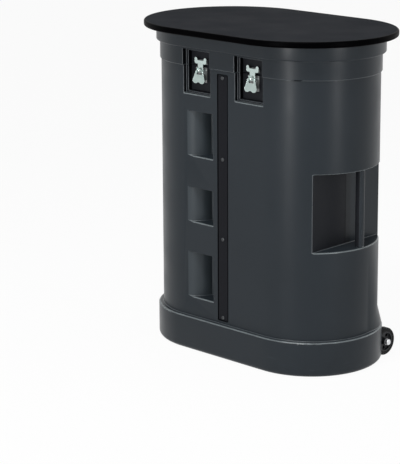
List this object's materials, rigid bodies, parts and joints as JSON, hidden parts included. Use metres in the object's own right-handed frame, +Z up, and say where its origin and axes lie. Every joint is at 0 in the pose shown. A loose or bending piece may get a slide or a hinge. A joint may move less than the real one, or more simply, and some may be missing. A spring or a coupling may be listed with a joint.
{
  "type": "rolling hard case table",
  "caption": "Tall oval moulded case on two wheels, with a latched lift-off lid and a folding oval table top.",
  "frame": {"origin": "bottom centre of the case, on the floor under the middle of the table top", "axes": "+Z up, +X along the case towards the grip end, -Y out of the front with the strip and latches"},
  "size_m": [0.84, 0.54, 1],
  "materials": {
    "moulded_shell": "fine pebbled moulded polyethylene",
    "strip": "smooth extruded strip",
    "dark_screw": "blackened screw heads",
    "latch_plate": "bright nickel plated steel",
    "latch_back": "dull zinc plated steel",
    "pin_steel": "turned steel",
    "axle_steel": "drawn steel bar",
    "cap_metal": "pressed bright cap",
    "hub": "moulded grey plastic",
    "tyre": "smooth solid rubber",
    "board": "fibreboard",
    "edge": "smooth black edge moulding",
    "cover": "matte charcoal laminate, soft enough to fold",
    "cleat": "planed softwood"
  },
  "bodies": {
    "case": {"case_shell": "moulded_shell", "front_strip": "strip", "strip_screws": "dark_screw", "latch_base_front_left": "latch_back", "latch_base_front_right": "latch_back", "latch_base_rear_left": "latch_back", "latch_base_rear_right": "latch_back", "latch_pivot_pins": "pin_steel", "base_rivets": "pin_steel", "axle": "axle_steel", "axle_washers": "axle_steel", "axle_caps": "cap_metal"},
    "lid": {"lid_shell": "moulded_shell", "keeper_front_left": "latch_back", "keeper_front_right": "latch_back", "keeper_rear_left": "latch_back", "keeper_rear_right": "latch_back", "keeper_rivets": "pin_steel"},
    "top_rear": {"top_board_rear": "board", "edge_trim_rear": "edge", "top_cover_rear": "cover", "cleats_rear": "cleat", "cleat_screws_rear": "pin_steel"},
    "top_front": {"top_board_front": "board", "edge_trim_front": "edge", "top_cover_front": "cover", "cleats_front": "cleat", "cleat_screws_front": "pin_steel"},
    "wheel_left": {"wheel_hub_left": "hub", "tyre_left": "tyre"},
    "wheel_right": {"wheel_hub_right": "hub", "tyre_right": "tyre"},
    "lever_front_left": {"latch_lever_front_left": "latch_plate", "latch_hook_pin_front_left": "pin_steel"},
    "hook_front_left": {"latch_hook_front_left": "latch_plate"},
    "lever_front_right": {"latch_lever_front_right": "latch_plate", "latch_hook_pin_front_right": "pin_steel"},
    "hook_front_right": {"latch_hook_front_right": "latch_plate"},
    "lever_rear_left": {"latch_lever_rear_left": "latch_plate", "latch_hook_pin_rear_left": "pin_steel"},
    "hook_rear_left": {"latch_hook_rear_left": "latch_plate"},
    "lever_rear_right": {"latch_lever_rear_right": "latch_plate", "latch_hook_pin_rear_right": "pin_steel"},
    "hook_rear_right": {"latch_hook_rear_right": "latch_plate"}
  },
  "joints": [
    {"name": "lid_lift", "type": "slide", "parent": "case", "child": "lid", "axis": [0, 0, 1], "range_m": [0, 0.25]},
    {"name": "top_lift", "type": "slide", "parent": "lid", "child": "top_rear", "axis": [0, 0, 1], "range_m": [0, 0.25]},
    {"name": "top_fold", "type": "hinge", "parent": "top_rear", "child": "top_front", "pos_m": [0, 0, 1.0003], "axis": [-1, 0, 0], "range_deg": [0, 180]},
    {"name": "wheel_left_spin", "type": "hinge", "parent": "case", "child": "wheel_left", "pos_m": [-0.3315, 0.153, 0.043], "axis": [1, 0, 0], "continuous": true},
    {"name": "wheel_right_spin", "type": "hinge", "parent": "case", "child": "wheel_right", "pos_m": [0.3315, 0.153, 0.043], "axis": [1, 0, 0], "continuous": true},
    {"name": "lever_front_left_swing", "type": "hinge", "parent": "case", "child": "lever_front_left", "pos_m": [-0.105, -0.187, 0.875], "axis": [-1, 0, 0], "range_deg": [0, 120]},
    {"name": "hook_front_left_swing", "type": "hinge", "parent": "lever_front_left", "child": "hook_front_left", "pos_m": [-0.105, -0.1864, 0.863], "axis": [-1, 0, 0], "range_deg": [-111, 0]},
    {"name": "lever_front_right_swing", "type": "hinge", "parent": "case", "child": "lever_front_right", "pos_m": [0.105, -0.187, 0.875], "axis": [-1, 0, 0], "range_deg": [0, 120]},
    {"name": "hook_front_right_swing", "type": "hinge", "parent": "lever_front_right", "child": "hook_front_right", "pos_m": [0.105, -0.1864, 0.863], "axis": [-1, 0, 0], "range_deg": [-111, 0]},
    {"name": "lever_rear_left_swing", "type": "hinge", "parent": "case", "child": "lever_rear_left", "pos_m": [-0.105, 0.187, 0.875], "axis": [1, 0, 0], "range_deg": [0, 120]},
    {"name": "hook_rear_left_swing", "type": "hinge", "parent": "lever_rear_left", "child": "hook_rear_left", "pos_m": [-0.105, 0.1864, 0.863], "axis": [1, 0, 0], "range_deg": [-111, 0]},
    {"name": "lever_rear_right_swing", "type": "hinge", "parent": "case", "child": "lever_rear_right", "pos_m": [0.105, 0.187, 0.875], "axis": [1, 0, 0], "range_deg": [0, 120]},
    {"name": "hook_rear_right_swing", "type": "hinge", "parent": "lever_rear_right", "child": "hook_rear_right", "pos_m": [0.105, 0.1864, 0.863], "axis": [1, 0, 0], "range_deg": [-111, 0]}
  ],
  "couplings": [
    {"joint": "hook_front_left_swing", "follows": "lever_front_left_swing", "ratio": -0.92},
    {"joint": "hook_front_right_swing", "follows": "lever_front_right_swing", "ratio": -0.92},
    {"joint": "hook_rear_left_swing", "follows": "lever_rear_left_swing", "ratio": -0.92},
    {"joint": "hook_rear_right_swing", "follows": "lever_rear_right_swing", "ratio": -0.92}
  ]
}
